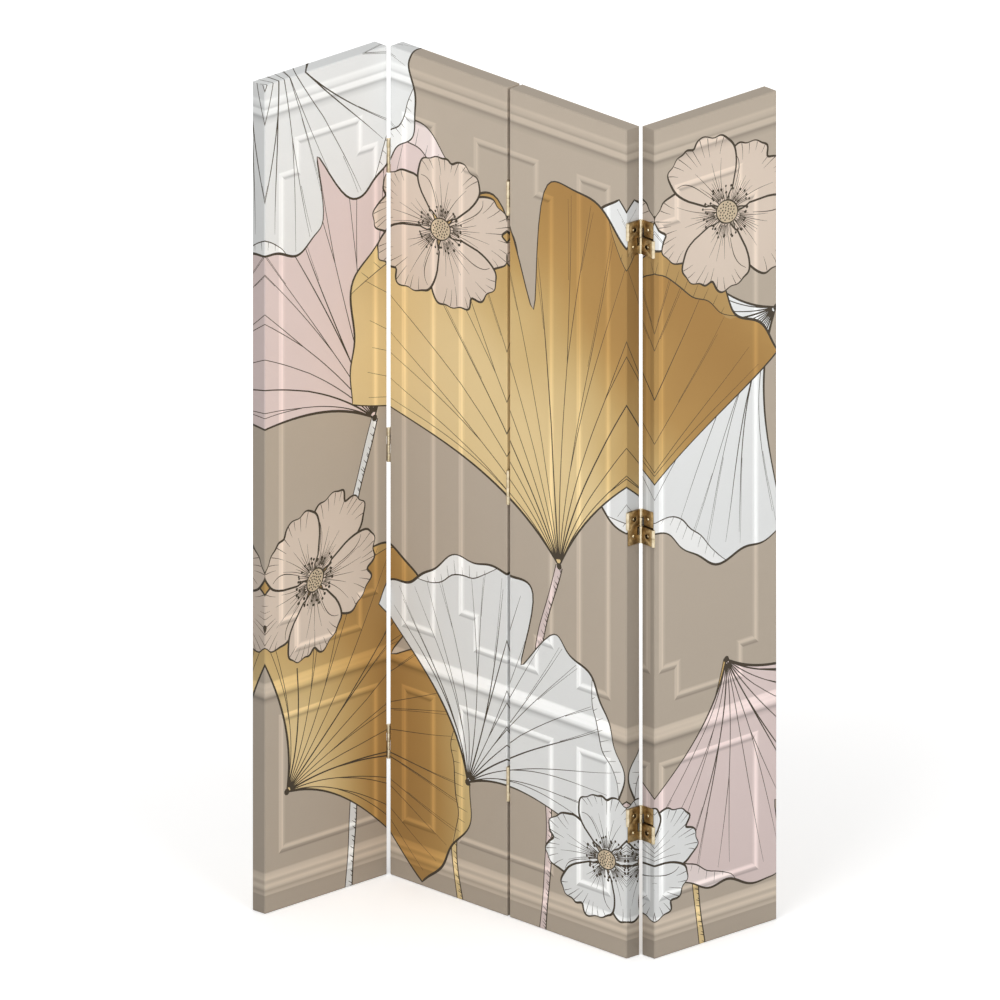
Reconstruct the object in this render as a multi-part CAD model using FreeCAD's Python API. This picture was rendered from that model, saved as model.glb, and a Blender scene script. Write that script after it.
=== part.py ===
import FreeCAD, Part
import math
import os

# Folding room divider: four canvas panels on pine stretcher frames, joined by three lines
# of double-action screen hinges. Each hinge folds to the front and to the back.
# Millimetres, +Z up. The origin is on the floor, in the middle of the middle hinge line.
# Panels 2 and 3 stand in line along X with their printed front towards -Y.
# Panel 1 is folded 90 degrees to the front, panel 4 is folded 90 degrees to the back.

# Panel
panel_width = 345.0
panel_height = 1800.0
bar_depth = 34.4
canvas_thickness = 0.8
edge_bevel = 1.0           # taken off the bars' outer edges, under the canvas

# Stretcher bars
bar_width = 32.0
bead_width = 8.0           # flat outer bead, the only part of a bar that meets the canvas
bevel_drop = 4.0           # how far the bar's face falls away behind the canvas
tongue_thickness = 10.0
joinery_clearance = 0.1
cross_rail_width = 32.0
cross_rail_depth = 20.0
cross_rail_shares = (1.0 / 3.0, 2.0 / 3.0)      # of the panel's height
tenon_length = 18.0
tenon_width = 22.0
margin_width = 25.0        # canvas turned over the back of the frame

# Hinges
hinge_height = 74.0
hinge_height_shares = (0.160, 0.518, 0.867)     # of the panel's height, to the hinge's middle
pin_radius = 1.8
pin_clearance = 0.05
knuckle_wall = 1.75
edge_clearance = 0.4       # knuckle to panel edge
turn_clearance = 0.4       # knuckle to the plates that turn past it
closed_gap = 0.8           # left between two panels folded flat together
leaf_thickness = 2.0
link_thickness = 2.0
seam = 0.6                 # between the upper and the lower link
knuckle_gap = 0.4          # between two knuckles on one pin
screw_spacing = 37.0       # between the two screws of a leaf
screw_hole_radius = 2.1
access_hole_radius = 5.0   # in a link, to reach the screw behind it
knuckle_sides = 10         # flats on a knuckle and its bore, which repeat many times
hole_sides = 8             # flats on a screw hole or an access hole

# One overrun for every cut
overrun = 1.0

# Worked out from the sizes above
panel_depth = bar_depth + 2 * canvas_thickness
wrap_radius = edge_bevel + canvas_thickness
frame_width = panel_width - 2 * canvas_thickness
frame_height = panel_height - 2 * canvas_thickness
knuckle_radius = pin_radius + pin_clearance + knuckle_wall
half_gap = knuckle_radius + edge_clearance
pin_y = (panel_depth + closed_gap) / 2          # pins lie just outside both faces
half_hinge = hinge_height / 2
leaf_face = half_gap - leaf_thickness           # leaf's free face, from the hinge's middle plane
swing_radius = knuckle_radius + turn_clearance
leaf_half = pin_y - math.sqrt(swing_radius ** 2 - leaf_face ** 2)
link_half = pin_y - swing_radius
knuckle_split = (half_hinge + seam / 2) / 2     # leaf knuckle outside it, link knuckle inside
pitch = panel_width + 2 * half_gap              # from one hinge line to the next when flat

X_AXIS = FreeCAD.Vector(1, 0, 0)
Y_AXIS = FreeCAD.Vector(0, 1, 0)
Z_AXIS = FreeCAD.Vector(0, 0, 1)
ORIGIN = FreeCAD.Vector(0, 0, 0)
QUARTER_TURN = 90.0


def block(x0, x1, y0, y1, z0, z1):
    """A box between two opposite corners."""
    return Part.makeBox(x1 - x0, y1 - y0, z1 - z0, FreeCAD.Vector(x0, y0, z0))


def extruded(outline, direction):
    """A prism on a closed outline of points."""
    wire = Part.makePolygon(outline + [outline[0]])
    return Part.Face(wire).extrude(direction)


def rim(box):
    """The edges round a box's front and back faces."""
    return [edge for edge in box.Edges if edge.BoundBox.YLength < canvas_thickness]


def frame_envelope():
    """The outer form of the stretcher frame, which the canvas is pulled over."""
    box = block(
        canvas_thickness, panel_width - canvas_thickness,
        canvas_thickness, panel_depth - canvas_thickness,
        canvas_thickness, panel_height - canvas_thickness,
    )
    return box.makeChamfer(edge_bevel, rim(box))


def bar_blank(length):
    """A mitred stretcher bar along Z, outer edge at x = 0, face bevelled behind its bead."""
    section = [
        FreeCAD.Vector(0, 0, 0),
        FreeCAD.Vector(bead_width, 0, 0),
        FreeCAD.Vector(bar_width, bevel_drop, 0),
        FreeCAD.Vector(bar_width, bar_depth, 0),
        FreeCAD.Vector(0, bar_depth, 0),
    ]
    mitred = [
        FreeCAD.Vector(0, 0, 0),
        FreeCAD.Vector(bar_width, 0, bar_width),
        FreeCAD.Vector(bar_width, 0, length - bar_width),
        FreeCAD.Vector(0, 0, length),
    ]
    moulding = extruded(section, Z_AXIS * length)
    return moulding.common(extruded(mitred, Y_AXIS * bar_depth))


def corner_squares(length, play):
    """The two corner squares of a bar at mid depth, where tongue and slot meet."""
    y0 = (bar_depth - tongue_thickness) / 2 - play
    y1 = (bar_depth + tongue_thickness) / 2 + play
    low = block(0, bar_width + play, y0, y1, 0, bar_width + play)
    high = block(0, bar_width + play, y0, y1, length - bar_width - play, length)
    return low, high


def laid(shape, x, z, turn):
    """A bar made along Z, turned about Y and put in its place in the frame."""
    shape = shape.copy()
    shape.rotate(ORIGIN, Y_AXIS, turn)
    shape.translate(FreeCAD.Vector(x, canvas_thickness, z))
    return shape


def cross_rail_heights():
    return [panel_height * share for share in cross_rail_shares]


def tenon(x0, x1, height, play):
    """The tongue on a cross rail's end, or with play the mortise for it."""
    back = panel_depth - canvas_thickness
    middle = back - cross_rail_depth / 2
    half_thickness = tongue_thickness / 2 + play
    half_width = tenon_width / 2 + play
    return block(
        x0 - play, x1 + play,
        middle - half_thickness, middle + half_thickness,
        height - half_width, height + half_width,
    )


def frame_pieces():
    """Two stiles, two rails and the cross rails of one panel, in the panel's own frame."""
    envelope = frame_envelope()
    inner_left = canvas_thickness + bar_width
    inner_right = panel_width - canvas_thickness - bar_width
    back = panel_depth - canvas_thickness

    stile = bar_blank(frame_height)
    for slot in corner_squares(frame_height, joinery_clearance):
        stile = stile.cut(slot)
    rail = bar_blank(frame_width)
    for tongue in corner_squares(frame_width, 0):
        rail = rail.fuse(tongue)
    rail = rail.removeSplitter()

    left_stile = laid(stile, canvas_thickness, canvas_thickness, 0)
    right_stile = laid(
        stile, panel_width - canvas_thickness, panel_height - canvas_thickness, 2 * QUARTER_TURN
    )
    cross_rails = []
    for height in cross_rail_heights():
        z0 = height - cross_rail_width / 2
        z1 = height + cross_rail_width / 2
        body = block(inner_left, inner_right, back - cross_rail_depth, back, z0, z1)
        ends = tenon(inner_left - tenon_length, inner_right + tenon_length, height, 0)
        cross_rails.append(body.fuse(ends).removeSplitter())
        mortise = tenon(
            inner_left - tenon_length, inner_right + tenon_length, height, joinery_clearance
        )
        left_stile = left_stile.cut(mortise)
        right_stile = right_stile.cut(mortise)

    bottom_rail = laid(rail, panel_width - canvas_thickness, canvas_thickness, -QUARTER_TURN)
    top_rail = laid(rail, canvas_thickness, panel_height - canvas_thickness, QUARTER_TURN)
    return {
        "left_stile": left_stile.common(envelope),
        "right_stile": right_stile.common(envelope),
        "bottom_rail": bottom_rail.common(envelope),
        "top_rail": top_rail.common(envelope),
        "cross_rails": Part.makeCompound(cross_rails),
    }


def canvas():
    """One piece of printed canvas, pulled round the frame and turned over its back."""
    cloth = block(0, panel_width, 0, panel_depth, 0, panel_height)
    cloth = cloth.makeFillet(wrap_radius, rim(cloth))
    window = block(
        margin_width, panel_width - margin_width,
        panel_depth / 2, panel_depth + overrun,
        margin_width, panel_height - margin_width,
    )
    return cloth.cut(frame_envelope()).cut(window)


def ring_of_points(sides, radius, centre, across, up):
    """The corners of a regular outline round a centre, first corner half a side from across."""
    points = []
    for corner in range(sides):
        angle = 2 * math.pi * (corner + 1 / 2) / sides
        points.append(centre + across * (radius * math.cos(angle)) + up * (radius * math.sin(angle)))
    return points


def on_pin(radius, y, z0, z1):
    """A many-sided bar on a hinge pin's axis."""
    centre = FreeCAD.Vector(0, y, min(z0, z1))
    outline = ring_of_points(knuckle_sides, radius, centre, X_AXIS, Y_AXIS)
    return extruded(outline, Z_AXIS * abs(z1 - z0))


def bore_on_pin(y, z0, z1):
    """The hole for a pin. Its flats clear the pin, which turns in it."""
    flats_radius = pin_radius + pin_clearance
    return on_pin(flats_radius / math.cos(math.pi / knuckle_sides), y, z0, z1)


def through_plate(radius, x0, x1, z):
    """A round hole along X through a leaf or a link."""
    centre = FreeCAD.Vector(x0 - overrun, 0, z)
    outline = ring_of_points(hole_sides, radius, centre, Y_AXIS, Z_AXIS)
    return extruded(outline, X_AXIS * (x1 - x0 + 2 * overrun))


def leaf(side, open_half):
    """A hinge leaf. side is -1 on the left panel and 1 on the right one.

    Its upper knuckle is on the front pin of a left leaf and the back pin of a right one,
    its lower knuckle on the other pin. The knuckle of the open half is closed, with no bore.
    """
    x0 = min(side * half_gap, side * leaf_face)
    x1 = max(side * half_gap, side * leaf_face)
    shape = block(x0, x1, -leaf_half, leaf_half, -half_hinge, half_hinge)
    cuts = []
    for half in (1, -1):
        y = half * side * pin_y
        root = math.copysign(leaf_half, y)
        inner = half * (knuckle_split + knuckle_gap / 2)
        outer = half * half_hinge
        strap = block(x0, x1, min(y, root), max(y, root), min(inner, outer), max(inner, outer))
        shape = shape.fuse([strap, on_pin(knuckle_radius, y, inner, outer)])
        if half != open_half:
            cuts.append(bore_on_pin(y, inner - half * overrun, outer + half * overrun))
        cuts.append(through_plate(screw_hole_radius, x0, x1, half * screw_spacing / 2))
    return shape.cut(cuts).removeSplitter()


def link(half, open_end):
    """The link between a hinge's front and back pins: half is 1 for the upper, -1 for the lower.

    open_end is the end, -1 front or 1 back, whose knuckle has no bore, or 0.
    """
    x0 = -link_thickness / 2
    x1 = link_thickness / 2
    inner = half * seam / 2
    split = half * (knuckle_split - knuckle_gap / 2)
    outer = half * half_hinge
    web = block(x0, x1, -pin_y, pin_y, min(inner, split), max(inner, split))
    tail = block(x0, x1, -link_half, link_half, min(inner, outer), max(inner, outer))
    shape = web.fuse([tail] + [on_pin(knuckle_radius, end * pin_y, inner, split) for end in (-1, 1)])
    cuts = [through_plate(access_hole_radius, x0, x1, half * screw_spacing / 2)]
    for end in (-1, 1):
        if end != open_end:
            cuts.append(bore_on_pin(end * pin_y, inner - half * overrun, split + half * overrun))
    return shape.cut(cuts).removeSplitter()


def pin(half, end):
    """One round hinge pin, through a link knuckle and the leaf knuckle beyond it."""
    inner = half * seam / 2
    outer = half * half_hinge
    foot = FreeCAD.Vector(0, end * pin_y, min(inner, outer))
    return Part.makeCylinder(pin_radius, abs(outer - inner), foot, Z_AXIS)


def at_hinges(shapes, x, move):
    """Copies of a hinge's pieces at the three hinges of a line, as one group."""
    group = []
    for share in hinge_height_shares:
        for shape in shapes:
            copy = shape.copy()
            copy.translate(FreeCAD.Vector(x, 0, panel_height * share))
            group.append(move(copy))
    return Part.makeCompound(group)


def stay(shape):
    return shape


def fold_panel_1(shape):
    """Panel 1 and what rides on it, folded to the front about its line's front pins."""
    shape.rotate(FreeCAD.Vector(-pitch, -pin_y, 0), Z_AXIS, QUARTER_TURN)
    return shape


def fold_panel_4(shape):
    """Panel 4 and what rides on it, folded to the back about its line's back pins."""
    shape.rotate(FreeCAD.Vector(pitch, pin_y, 0), Z_AXIS, QUARTER_TURN)
    return shape


moves = {"1": fold_panel_1, "2": stay, "3": stay, "4": fold_panel_4}

# Each hinge line: its name, its left and right panel, its place along X when flat,
# the panels that its upper and its lower links ride with at rest, and the end of the
# lower link where the closed loop of pins is opened (-1 front, 1 back).
hinge_lines = (
    ("12", "1", "2", -pitch, "2", "1", -1),
    ("23", "2", "3", 0.0, "2", "3", 1),
    ("34", "3", "4", pitch, "3", "4", 1),
)


def build():
    nodes = {}
    frame = frame_pieces()
    cloth = canvas()
    for index, name in enumerate(moves):
        left = half_gap + (index - 2) * pitch
        pieces = dict(frame)
        pieces["canvas"] = cloth
        for piece, shape in pieces.items():
            copy = shape.copy()
            copy.translate(FreeCAD.Vector(left, -panel_depth / 2, 0))
            nodes["panel_" + name + "_" + piece] = moves[name](copy)

    for name, left, right, x, upper_carrier, lower_carrier, open_end in hinge_lines:
        # A right leaf meets the lower links at the front pin, a left leaf at the back pin.
        left_open = -1 if open_end == 1 else 0
        right_open = -1 if open_end == -1 else 0
        prefix = "hinges_" + name + "_"
        upper = moves[upper_carrier]
        lower = moves[lower_carrier]
        nodes[prefix + "left_leaves"] = at_hinges([leaf(-1, left_open)], x, moves[left])
        nodes[prefix + "right_leaves"] = at_hinges([leaf(1, right_open)], x, moves[right])
        nodes[prefix + "upper_links"] = at_hinges([link(1, 0)], x, upper)
        nodes[prefix + "lower_links"] = at_hinges([link(-1, open_end)], x, lower)
        nodes[prefix + "upper_pins"] = at_hinges([pin(1, -1), pin(1, 1)], x, upper)
        nodes[prefix + "lower_pins"] = at_hinges([pin(-1, -open_end)], x, lower)
    return nodes


os.makedirs("parts", exist_ok=True)
for node, shape in build().items():
    shape.exportStep("parts/" + node + ".step")
    print(node, "solids", len(shape.Solids), "volume", round(shape.Volume), "valid", shape.isValid())
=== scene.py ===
import math
import random
from functools import partial

import bmesh
import bpy
from mathutils import Matrix, Vector, geometry


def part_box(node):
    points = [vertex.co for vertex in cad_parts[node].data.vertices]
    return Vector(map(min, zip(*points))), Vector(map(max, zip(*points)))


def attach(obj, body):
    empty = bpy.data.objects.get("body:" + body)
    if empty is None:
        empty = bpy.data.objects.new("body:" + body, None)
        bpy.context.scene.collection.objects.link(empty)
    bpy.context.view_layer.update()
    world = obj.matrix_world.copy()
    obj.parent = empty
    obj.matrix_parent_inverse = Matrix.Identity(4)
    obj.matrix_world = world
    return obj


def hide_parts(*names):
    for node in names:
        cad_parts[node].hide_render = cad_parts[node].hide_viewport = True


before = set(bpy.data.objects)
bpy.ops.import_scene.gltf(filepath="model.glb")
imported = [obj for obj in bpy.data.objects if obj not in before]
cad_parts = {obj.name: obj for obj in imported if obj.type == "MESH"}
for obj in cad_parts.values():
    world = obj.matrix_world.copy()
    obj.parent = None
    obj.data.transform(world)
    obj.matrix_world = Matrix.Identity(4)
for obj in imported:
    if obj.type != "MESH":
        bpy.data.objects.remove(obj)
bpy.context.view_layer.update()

# sizes of the screen in mm, read off the CAD canvases
mm = 0.001
canvasLow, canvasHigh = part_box("panel_2_canvas")
panelWidth = (canvasHigh.x - canvasLow.x) / mm
panelDepth = (canvasHigh.y - canvasLow.y) / mm
panelHeight = canvasHigh.z / mm
pitch = (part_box("panel_3_canvas")[0].x - canvasLow.x) / mm
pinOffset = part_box("panel_4_canvas")[1].x / mm - pitch - panelDepth / 2
panelNames = ("1", "2", "3", "4")


def quarterTurn(x, y):
    centre = Matrix.Translation((x * mm, y * mm, 0))
    return centre @ Matrix.Rotation(math.pi / 2, 4, "Z") @ centre.inverted()


# from the screen laid flat to where each panel stands at rest
restMatrix = {"1": quarterTurn(-pitch, -pinOffset), "2": Matrix.Identity(4),
              "3": Matrix.Identity(4), "4": quarterTurn(pitch, pinOffset)}


def atRest(panel, place):
    return restMatrix[panel] @ (place * mm)


def leftEdge(panel):
    return (int(panel) - 3) * pitch + (pitch - panelWidth) / 2


def pickOnly(*pieces):
    bpy.ops.object.select_all(action="DESELECT")
    for piece in pieces:
        piece.select_set(True)
    bpy.context.view_layer.objects.active = pieces[0]


def newPiece(name, data):
    piece = bpy.data.objects.new(name, data)
    bpy.context.scene.collection.objects.link(piece)
    return piece


def copied(template, move):
    # a copy with a mesh of its own, moved
    piece = newPiece(template.name, template.data.copy())
    piece.data.transform(move)
    return piece


# materials

def fromHex(code):
    parts = [int(code[i:i + 2], 16) / 255 for i in (1, 3, 5)]
    return tuple(c / 12.92 if c <= 0.04045 else ((c + 0.055) / 1.055) ** 2.4 for c in parts) + (1.0,)


def feed(node, inputs):
    # links what comes from another node and sets the rest
    for key, value in inputs.items():
        if isinstance(value, bpy.types.NodeSocket):
            node.id_data.links.new(value, node.inputs[key])
        else:
            node.inputs[key].default_value = value


def addNode(tree, kind, inputs=None, stops=(), **settings):
    # gives the node's outputs; stops are a colour ramp's
    made = tree.nodes.new("ShaderNode" + kind)
    for key, value in settings.items():
        setattr(made, key, value)
    feed(made, inputs or {})
    if stops:
        elements = made.color_ramp.elements
        while len(elements) < len(stops):
            elements.new(0.5)
        for element, (spot, code) in zip(elements, stops):
            element.position, element.color = spot, fromHex(code)
    return made.outputs


def startMaterial(name):
    # gives the material and its own addNode
    material = bpy.data.materials.new(name)
    material.use_nodes = True
    return material, partial(addNode, material.node_tree)


def finished(material, **inputs):
    shader = material.node_tree.nodes["Principled BSDF"]
    feed(shader, {key.replace("_", " "): value for key, value in inputs.items()})
    return material


def paint(piece, *materials):
    piece.data.materials.clear()
    for material in materials:
        piece.data.materials.append(material)


canvasLook = {
    "threadPitch": 1.1,            # mm between threads, coarser than the real 0.5 mm so that it shows
    "wander": 0.6, "slubScale": 160.0, "slubShare": 0.6,
    "weaveStrength": 0.20, "weaveHeight": 0.2, "weaveTones": (0.97, 1.02),
    "bands": (3.4, 2.6, 1.6),      # pace of the gold's bright bands: outwards, across a leaf, with the mottle
    "mottleScale": 3.2,
    "goldStops": ((0.0, "#A77F4C"), (0.25, "#B79058"), (0.50, "#C7A66E"), (0.78, "#DBC08A"), (1.0, "#EFD8A6")),
    "goldShare": 0.80,             # of the ramp in a gold ink, the rest is the ink's own colour
    "rimShade": 0.94,              # at a leaf's margin
    "footShade": 0.86,             # painted shade: the colour gets darker towards the floor
    "shadeHeight": 1.6,            # m, above which it doesn't
}


def makeCanvasMaterial():
    # cotton canvas with a matt latex print: even colour, a faint weave, hardly any shine, with painted shade towards
    # the floor and on the turned edges
    look = canvasLook
    material, add = startMaterial("printedCottonCanvas")
    ink = add("Attribute", attribute_name="ink")["Color"]
    leaf = add("Attribute", attribute_name="leaf")["Vector"]
    # this attribute holds the printed mouldings' tone times the painted shade of the turned edges, and whether the
    # ink is gold
    shadeAndGold = add("SeparateXYZ", {"Vector": add("Attribute", attribute_name="shadeAndGold")["Vector"]})
    sheet = add("UVMap", uv_map="sheet")["UV"]

    # gold: slow bright bands across each leaf, as on foil, with a soft mottle
    across = add("SeparateXYZ", {"Vector": leaf})["X"]
    far = add("VectorMath", {0: leaf}, operation="LENGTH")["Value"]
    mottle = add("TexNoise", {"Vector": sheet, "Scale": look["mottleScale"], "Detail": 1.0, "Roughness": 0.4})["Fac"]
    turn = 0.1
    for value, pace in zip((far, across, mottle), look["bands"]):
        turn = add("Math", {0: value, 1: pace, 2: turn}, operation="MULTIPLY_ADD")[0]
    band = add("Math", {0: turn}, operation="SINE")[0]
    level = add("MapRange", {"Value": band, "From Min": -1.0})["Result"]
    gold = add("ValToRGB", {"Fac": level}, look["goldStops"])["Color"]
    share = add("Math", {0: shadeAndGold["Y"], 1: look["goldShare"]}, operation="MULTIPLY")[0]
    colour = add("Mix", {0: share, 6: ink, 7: gold}, data_type="RGBA")[2]

    # plain weave: two sets of threads, one over the other
    scale = math.pi / 10 / (look["threadPitch"] * mm)
    threads = {"Vector": sheet, "Scale": scale, "Distortion": look["wander"], "Detail": 0.0}
    warp, weft = (add("TexWave", threads, bands_direction=way)["Fac"] for way in "XY")
    weave = add("Math", {0: warp, 1: weft}, operation="MULTIPLY")[0]
    slub = add("TexNoise", {"Vector": sheet, "Scale": look["slubScale"], "Detail": 2.0})["Fac"]
    thread = add("Math", {0: slub, 1: look["slubShare"], 2: weave}, operation="MULTIPLY_ADD")[0]
    bump = add("Bump", {"Height": thread, "Strength": look["weaveStrength"], "Distance": look["weaveHeight"] * mm})

    # painted shade darker towards the floor; the leaves darker at their rims; the printed mouldings times the painted
    # shade of the turned edges; darker between the threads
    height = add("SeparateXYZ", {"Vector": sheet})["Y"]
    shade = add("MapRange", {"Value": height, "From Max": look["shadeHeight"], "To Min": look["footShade"]})["Result"]
    rim = add("MapRange", {"Value": far, "To Min": 1.0, "To Max": look["rimShade"]})["Result"]
    dull, bright = look["weaveTones"]
    tone = add("MapRange", {"Value": thread, "From Min": 0.1, "From Max": 1.2, "To Min": dull, "To Max": bright})
    for other in (rim, shadeAndGold["X"], tone["Result"]):
        shade = add("Math", {0: shade, 1: other}, operation="MULTIPLY")[0]
    colour = add("VectorMath", {0: colour, "Scale": shade}, operation="SCALE")["Vector"]
    return finished(material, Base_Color=colour, Roughness=0.75, Specular_IOR_Level=0.22, Normal=bump["Normal"])


reverseLook = {
    "cloudScale": 5.0, "slubScale": 420.0, "slubHeight": 0.4,
    "stops": ((0.35, "#D3C7B1"), (1.0, "#EBE3D3")),
}


def makeReverseMaterial():
    # unprimed cotton duck, the canvas's reverse: cream, matt, with slubs and faint clouds
    look = reverseLook
    material, add = startMaterial("cottonDuckReverse")
    place = add("TexCoord")["Object"]
    cloud = add("TexNoise", {"Vector": place, "Scale": look["cloudScale"], "Detail": 3.0})["Fac"]
    slub = add("TexNoise", {"Vector": place, "Scale": look["slubScale"], "Detail": 2.0})["Fac"]
    mixed = add("Math", {0: slub, 1: 0.5, 2: cloud}, operation="MULTIPLY_ADD")[0]
    colour = add("ValToRGB", {"Fac": mixed}, look["stops"])["Color"]
    bump = add("Bump", {"Height": slub, "Strength": 0.3, "Distance": look["slubHeight"] * mm})["Normal"]
    return finished(material, Base_Color=colour, Roughness=0.88, Specular_IOR_Level=0.15, Normal=bump)


pineLook = {
    "ringPitch": 9.0, "ringWander": 0.030,      # mm between growth lines, m that they stray
    "stretch": 0.045,                           # of the grain along the bar
    "bendScale": 16.0, "fibreScale": 700.0, "patchScale": 30.0,
    "knotScale": 4.2, "knotRim": (0.03, 0.065), "knot": "#8A5A33",
    "stops": ((0.10, "#E0BF90"), (0.45, "#D6B07C"), (1.0, "#BE925E")),
}


def makePineMaterial(axis):
    # planed, unfinished pine: growth lines along the bar, uneven in pitch and strength, a few small knots
    look = pineLook
    material, add = startMaterial("planedPineAlong" + axis)
    place = add("TexCoord")["Object"]
    squeeze = [look["stretch"] if way == axis else 1 for way in "XYZ"]
    along = add("Mapping", {"Vector": place, "Scale": squeeze})["Vector"]
    bend = add("TexNoise", {"Vector": along, "Scale": look["bendScale"], "Detail": 2.0})["Color"]
    offset = add("VectorMath", {0: bend, "Scale": look["ringWander"]}, operation="SCALE")["Vector"]
    moved = add("VectorMath", {0: along, 1: offset}, operation="ADD")["Vector"]
    scale = math.pi / 10 / (look["ringPitch"] * mm)
    rings = add("TexWave", {"Vector": moved, "Scale": scale, "Distortion": 2.2, "Detail": 2.0},
                wave_type="RINGS", rings_direction=axis)["Fac"]
    fibre = add("TexNoise", {"Vector": along, "Scale": look["fibreScale"], "Detail": 2.0})["Fac"]
    patch = add("TexNoise", {"Vector": along, "Scale": look["patchScale"], "Detail": 1.0})["Fac"]
    grain = add("Math", {0: rings, 1: patch}, operation="MULTIPLY")[0]
    grain = add("Math", {0: fibre, 1: 0.35, 2: grain}, operation="MULTIPLY_ADD")[0]
    wood = add("ValToRGB", {"Fac": grain}, look["stops"])["Color"]
    knots = add("TexVoronoi", {"Vector": place, "Scale": look["knotScale"]})["Distance"]
    near, far = look["knotRim"]
    core = add("MapRange", {"Value": knots, "From Min": near, "From Max": far, "To Min": 0.7, "To Max": 0.0})
    colour = add("Mix", {0: core["Result"], 6: wood, 7: fromHex(look["knot"])}, data_type="RGBA")[2]
    bump = add("Bump", {"Height": fibre, "Strength": 0.25, "Distance": 0.3 * mm})["Normal"]
    return finished(material, Base_Color=colour, Roughness=0.64, Specular_IOR_Level=0.3, Normal=bump)


metalLook = {"tarnishScale": 90.0, "stretch": 0.06, "roughSpread": (-0.08, 0.12), "scratch": 0.05}


def makeMetalMaterial(name, pale, dark, roughness, grain):
    # sheet or wire metal: a slightly uneven tarnish and fine drawing lines in its roughness, grain mm apart
    look = metalLook
    material, add = startMaterial(name)
    place = add("TexCoord")["Object"]
    tarnish = add("TexNoise", {"Vector": place, "Scale": look["tarnishScale"], "Detail": 4.0})["Fac"]
    colour = add("ValToRGB", {"Fac": tarnish}, ((0.30, dark), (0.68, pale)))["Color"]
    along = add("Mapping", {"Vector": place, "Scale": (1, 1, look["stretch"])})["Vector"]
    lines = add("TexNoise", {"Vector": along, "Scale": 1 / (grain * mm), "Detail": 1.0})["Fac"]
    least, most = (roughness + spread for spread in look["roughSpread"])
    rough = add("MapRange", {"Value": lines, "To Min": least, "To Max": most})["Result"]
    bump = add("Bump", {"Height": lines, "Strength": 0.12, "Distance": look["scratch"] * mm})["Normal"]
    return finished(material, Metallic=1.0, Base_Color=colour, Roughness=rough, Normal=bump)


canvasMaterial = makeCanvasMaterial()
reverseMaterial = makeReverseMaterial()
pineMaterials = {axis: makePineMaterial(axis) for axis in "XYZ"}
# stamped sheet brass, gone brown where hands don't reach
brassMaterial = makeMetalMaterial("stampedSheetBrass", "#B2976A", "#6B5536", 0.34, 0.35)
# rolled knuckles: the same brass painted paler as a painted highlight, and satin
knuckleMaterial = makeMetalMaterial("brassKnucklePaintedHighlight", "#DDD0B6", "#BFB08E", 0.42, 0.35)
# cut edges, grooves and countersinks: near-black brass as painted shade, where shadow falls in the hollows
recessShadeBrass = makeMetalMaterial("brassRecessPaintedShade", "#3E2C16", "#1C130A", 0.60, 0.30)
brasses = (brassMaterial, knuckleMaterial, recessShadeBrass)
# drawn mild steel wire
pinMaterial = makeMetalMaterial("drawnSteelWire", "#C9C2B2", "#9A9384", 0.28, 0.30)
# brass-plated steel screws, bright from a barrel polish
screwMaterial = makeMetalMaterial("platedSteelScrew", "#F6E7C2", "#DCC594", 0.18, 0.5)
# galvanised staple wire
stapleMaterial = makeMetalMaterial("galvanisedWire", "#C4C6C8", "#9EA1A4", 0.34, 0.4)
print("materials made")


# the print: places are u + v j in mm on the flat screen, u from its middle, v up from the floor

inkColours = {
    "ground": "#B9AC9C", "line": "#4B4236", "gold": "#C2994C", "goldLip": "#E6D08E",
    "white": "#ECEDEC", "whiteLip": "#F8F8F6", "blush": "#E3D0CC", "blushLip": "#EFE0DC",
    "petal": "#DDCCBC", "heart": "#CDBB9F", "raw": "#E9E2D4",
}
shapes = []         # (ink, outline, hub, reach), the lowest layer first
reliefs = []        # (outline, start, normal, width, tone, tone)


def turned(angle):
    return complex(math.cos(math.radians(angle)), math.sin(math.radians(angle)))


def unit(way):
    return way / (abs(way) or 1.0)


def smoothLine(points, step):
    # a curve through the points
    line = []
    ends = [2 * points[0] - points[1]] + list(points) + [2 * points[-1] - points[-2]]
    for a, b, c, d in zip(ends, ends[1:], ends[2:], ends[3:]):
        count = max(2, int(abs(c - b) / step))
        for i in range(count):
            t = i / count
            line.append(0.5 * (2 * b + (c - a) * t + (2 * a - 5 * b + 4 * c - d) * t * t
                               + (3 * b - a - 3 * c + d) * t ** 3))
    return line + [points[-1]]


def fill(ink, outline, hub=0j, reach=1.0):
    shapes.append((ink, outline, hub, reach))


def direction(line, i, closed=False):
    # which way a line runs at its point i
    if closed:
        return unit(line[(i + 1) % len(line)] - line[i - 1])
    return unit(line[min(i + 1, len(line) - 1)] - line[max(i - 1, 0)])


def ribbon(line, widths, closed=False):
    # short quads along a line, with its width at each point
    edges = []
    for i, (p, width) in enumerate(zip(line, widths)):
        side = direction(line, i, closed) * 1j * width / 2
        edges.append((p - side, p + side))
    for (a, b), (c, d) in zip(edges, edges[1:] + (edges[:1] if closed else [])):
        fill("line", [a, c, d, b])


def stroke(points, start, middle, end, step=9.0):
    # a brush line, with its width at the start, in the middle and at the end
    line = smoothLine(points, step)
    shares = [i / (len(line) - 1) for i in range(len(line))]
    ribbon(line, [start + (middle - start) * 2 * t if t < 0.5 else middle + (end - middle) * (2 * t - 1)
                  for t in shares])


def contour(outline, width, swell, beats):
    # a closed brush line whose width swells a few times on its way round
    total = len(outline)
    widths = [width * (1 + swell * math.sin(2 * math.pi * beats * i / total)) for i in range(total)]
    ribbon(outline, widths, closed=True)


def lobe(at, half, hub, rimSteps, sideSteps):
    # a leaf's or petal's outline: its rim, down one side to the hub and up the other
    outline = [at(-half + 2 * half * i / rimSteps, 1.0) for i in range(rimSteps + 1)]
    outline += [at(half, 1 - i / sideSteps) for i in range(1, sideSteps)] + [hub]
    return outline + [at(-half, i / sideSteps) for i in range(1, sideSteps)]


def dot(centre, radius, sides=9):
    fill("line", [centre + radius * turned(360 * i / sides) for i in range(sides)])


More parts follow.
